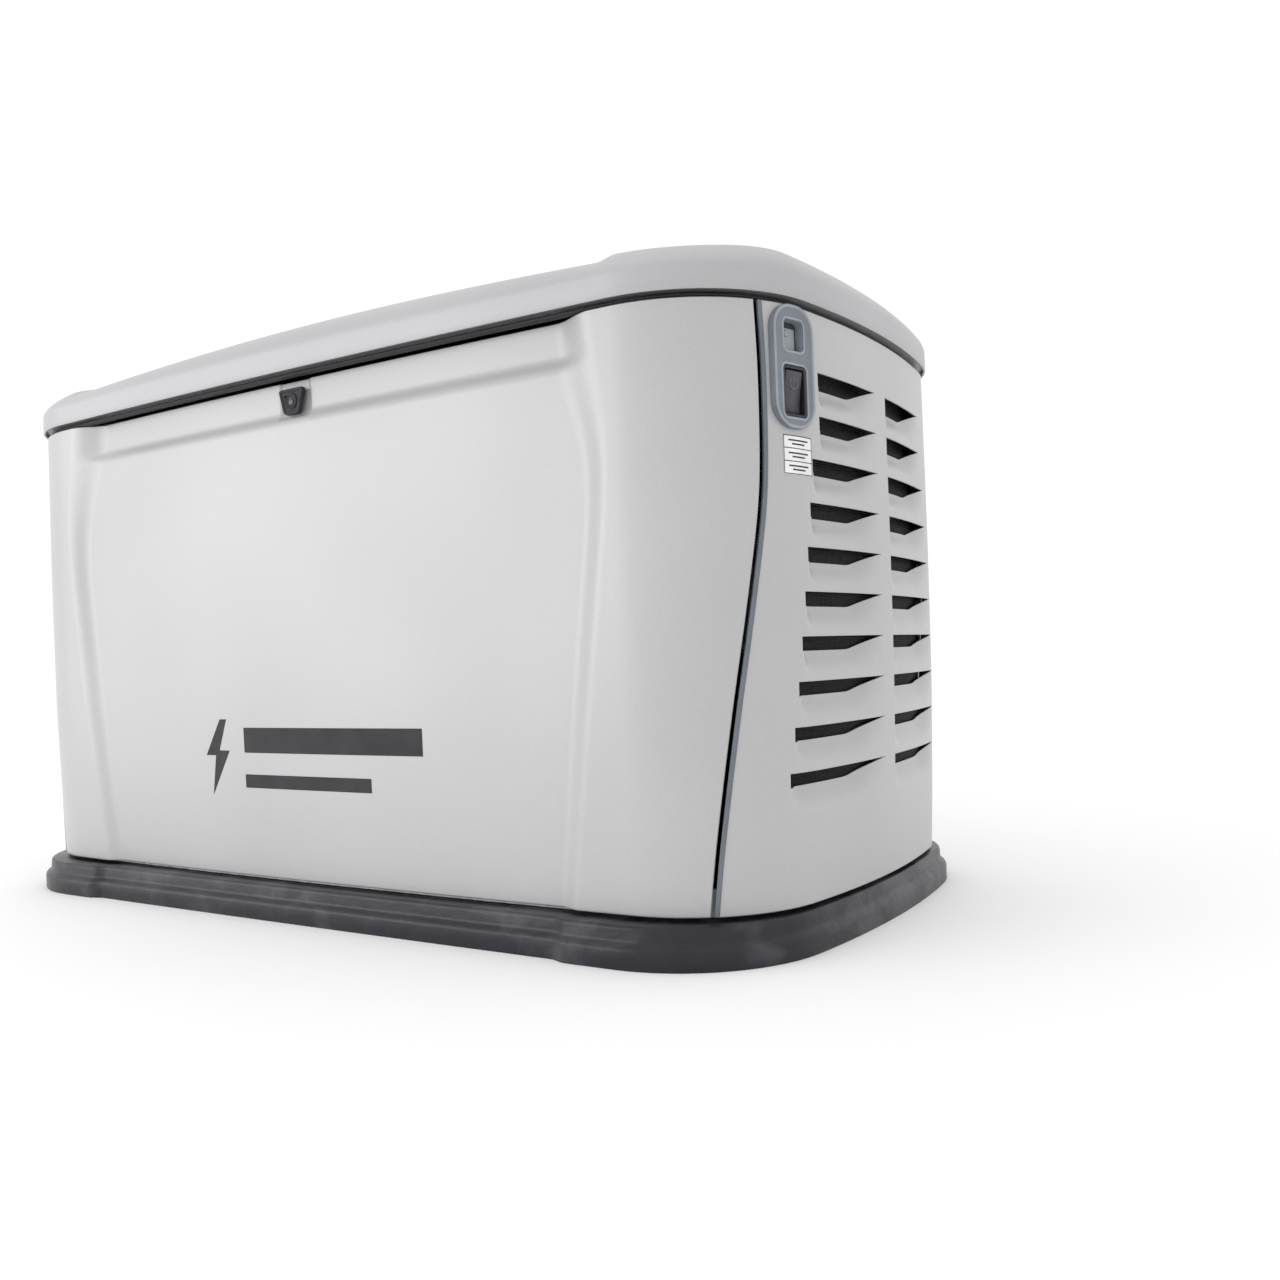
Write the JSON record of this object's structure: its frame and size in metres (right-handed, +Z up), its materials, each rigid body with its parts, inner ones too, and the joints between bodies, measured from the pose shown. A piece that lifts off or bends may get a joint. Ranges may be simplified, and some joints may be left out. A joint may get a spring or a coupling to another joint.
{
  "type": "home standby generator",
  "caption": "Air-cooled home standby generator: bowed sheet-metal enclosure on a composite pad, rear-hinged lid, lift-off front and louvred intake end, V-twin engine and alternator inside.",
  "frame": {"origin": "on the ground, under the middle of the mounting pad", "axes": "+X towards the louvred air-intake end, -Y towards the front panel, +Z up"},
  "size_m": [1.218, 0.6436, 0.7268],
  "materials": {
    "paint_panel": "satin powder coat with a fine sparkle",
    "paint_lid": "satin powder coat with a fine sparkle",
    "galvanised": "zinc-coated sheet, dull",
    "pad_composite": "marbled moulded composite",
    "rubber": "matte moulded rubber",
    "bezel_plastic": "blue-grey moulded plastic",
    "black_plastic": "fine-textured moulded plastic",
    "lens": "translucent lens",
    "black_mesh": "black woven mesh",
    "cast_aluminium": "sand-cast, matte",
    "engine_black": "semi-gloss heat-resistant paint",
    "steel": "machined steel",
    "hot_steel": "heat-tinted aluminised steel",
    "filter_paint": "glossy enamel",
    "yellow_plastic": "moulded plastic"
  },
  "bodies": {
    "base": {"mounting_pad": "pad_composite", "base_tray": "galvanised", "rear_panel": "paint_panel", "exhaust_side_panel": "paint_panel", "hinge_leaf_fixed_left": "galvanised", "hinge_pin_left": "steel", "hinge_leaf_fixed_right": "galvanised", "hinge_pin_right": "steel", "crankcase": "cast_aluminium", "cylinder_front": "cast_aluminium", "valve_cover_front": "engine_black", "cylinder_rear": "cast_aluminium", "valve_cover_rear": "engine_black", "blower_housing": "engine_black", "oil_filter": "filter_paint", "starter_motor": "engine_black", "intake_mixer": "cast_aluminium", "air_filter_housing": "black_plastic", "alternator_stator": "steel", "alternator_end_bell": "cast_aluminium", "engine_skid": "galvanised", "isolator_left_front": "rubber", "isolator_left_rear": "rubber", "isolator_right_front": "rubber", "isolator_right_rear": "rubber", "divider_panel": "galvanised", "muffler": "hot_steel", "exhaust_pipe_front": "hot_steel", "exhaust_pipe_rear": "hot_steel", "exhaust_outlet": "hot_steel", "fuel_regulator": "cast_aluminium", "fuel_inlet_pipe": "engine_black", "battery_tray": "black_plastic", "battery": "black_plastic", "battery_strap": "rubber", "control_bracket": "galvanised", "controller_housing": "black_plastic", "controller_display": "lens", "main_breaker": "black_plastic"},
    "lid": {"lid": "paint_lid", "lid_seal": "rubber", "hinge_leaf_lid_left": "galvanised", "hinge_leaf_lid_right": "galvanised"},
    "lid_stay": {"lid_stay": "steel"},
    "front_panel": {"front_panel": "paint_panel"},
    "intake_panel": {"intake_side_panel": "paint_panel", "status_bezel": "bezel_plastic", "status_lens": "lens", "shutdown_switch_housing": "black_plastic", "intake_screen": "black_mesh"},
    "shutdown_rocker": {"shutdown_rocker": "black_plastic"},
    "lock_cap": {"lock_cap": "rubber"},
    "lock_cylinder": {"lock_cylinder": "steel"},
    "rotor": {"rotor_shaft": "steel", "flywheel_fan": "cast_aluminium"},
    "dipstick": {"dipstick": "yellow_plastic"},
    "breaker_toggle": {"breaker_toggle": "black_plastic"},
    "button_off": {"button_off": "bezel_plastic"},
    "button_auto": {"button_auto": "bezel_plastic"},
    "button_manual": {"button_manual": "bezel_plastic"}
  },
  "joints": [
    {"name": "lid_hinge", "type": "hinge", "parent": "base", "child": "lid", "pos_m": [0, 0.315, 0.6295], "axis": [-1, 0, 0], "range_deg": [0, 55]},
    {"name": "lid_stay_swing", "type": "hinge", "parent": "base", "child": "lid_stay", "pos_m": [-0.404, 0.2, 0.59], "axis": [-1, 0, 0], "range_deg": [0, 91]},
    {"name": "front_panel_slide", "type": "slide", "parent": "base", "child": "front_panel", "axis": [0, -1, 0], "range_m": [0, 0.45]},
    {"name": "intake_panel_slide", "type": "slide", "parent": "base", "child": "intake_panel", "axis": [1, 0, 0], "range_m": [0, 0.35]},
    {"name": "shutdown_rocker_tilt", "type": "hinge", "parent": "intake_panel", "child": "shutdown_rocker", "pos_m": [0.58293, -0.1884, 0.541], "axis": [-0.2682, -0.9633, 0], "range_deg": [0, 17]},
    {"name": "lock_cap_hinge", "type": "hinge", "parent": "front_panel", "child": "lock_cap", "pos_m": [0, -0.28853, 0.616], "axis": [-1, 0, 0], "range_deg": [0, 85]},
    {"name": "lock_turn", "type": "hinge", "parent": "front_panel", "child": "lock_cylinder", "pos_m": [0, -0.28683, 0.6], "axis": [0, -1, 0], "range_deg": [0, 90]},
    {"name": "rotor_spin", "type": "hinge", "parent": "base", "child": "rotor", "pos_m": [0, 0, 0.225], "axis": [1, 0, 0], "continuous": true},
    {"name": "dipstick_pull", "type": "slide", "parent": "base", "child": "dipstick", "axis": [0, 0, 1], "range_m": [0, 0.14]},
    {"name": "breaker_throw", "type": "hinge", "parent": "base", "child": "breaker_toggle", "pos_m": [0.382, -0.2, 0.557], "axis": [-1, 0, 0], "range_deg": [0, 40]},
    {"name": "button_off_press", "type": "slide", "parent": "base", "child": "button_off", "axis": [0, 0.3846, -0.9231], "range_m": [0, 0.0015], "stiffness_N_per_m": 400},
    {"name": "button_auto_press", "type": "slide", "parent": "base", "child": "button_auto", "axis": [0, 0.3846, -0.9231], "range_m": [0, 0.0015], "stiffness_N_per_m": 400},
    {"name": "button_manual_press", "type": "slide", "parent": "base", "child": "button_manual", "axis": [0, 0.3846, -0.9231], "range_m": [0, 0.0015], "stiffness_N_per_m": 400}
  ],
  "couplings": [
    {"joint": "lid_stay_swing", "follows": "lid_hinge", "ratio": 1.636}
  ]
}
